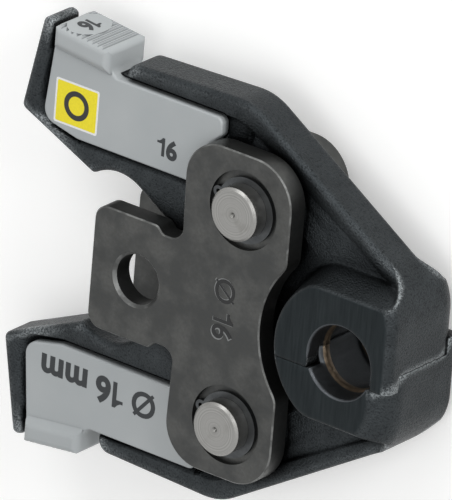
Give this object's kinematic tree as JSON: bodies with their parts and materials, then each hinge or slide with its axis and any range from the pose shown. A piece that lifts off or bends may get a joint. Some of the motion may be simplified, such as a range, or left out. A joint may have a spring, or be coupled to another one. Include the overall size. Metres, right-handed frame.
{
  "type": "press fitting tool jaw",
  "caption": "Pressing jaw for pipe fittings: forged levers pivoted between side plates close a round press contour when rollers spread their tails.",
  "frame": {"origin": "the machine bolt bore's axis at mid thickness", "axes": "+X from the machine bolt bore to the nose with the press bore, +Z along the bore axis towards the front face, +Y from the lower lever to the upper lever"},
  "size_m": [0.125, 0.1138, 0.0328],
  "materials": {
    "blackened_forging": "black phosphated forged steel",
    "plate_steel": "dark hardened plate steel",
    "turned_steel": "bright turned steel",
    "spring_steel": "oiled spring steel",
    "grey_plastic": "satin moulded plastic"
  },
  "bodies": {
    "frame": {"front_side_plate": "plate_steel", "rear_side_plate": "plate_steel", "upper_pivot_pin": "turned_steel", "lower_pivot_pin": "turned_steel", "front_upper_ring": "spring_steel", "front_lower_ring": "spring_steel", "rear_upper_ring": "spring_steel", "rear_lower_ring": "spring_steel", "spring_post": "turned_steel", "closing_spring": "spring_steel"},
    "upper_lever": {"upper_jaw": "blackened_forging", "upper_grip_cover": "grey_plastic"},
    "lower_lever": {"lower_jaw": "blackened_forging", "lower_grip_cover": "grey_plastic"}
  },
  "joints": [
    {"name": "upper_jaw_pivot", "type": "hinge", "parent": "frame", "child": "upper_lever", "pos_m": [0.0309, 0.029, 0], "axis": [0, 0, 1], "range_deg": [0, 14], "stiffness_Nm_per_rad": 3, "springref_deg": -11.46, "deforming": ["closing_spring"]},
    {"name": "lower_jaw_pivot", "type": "hinge", "parent": "frame", "child": "lower_lever", "pos_m": [0.0309, -0.029, 0], "axis": [0, 0, -1], "range_deg": [0, 14], "stiffness_Nm_per_rad": 3, "springref_deg": -11.46, "deforming": ["closing_spring"]}
  ]
}
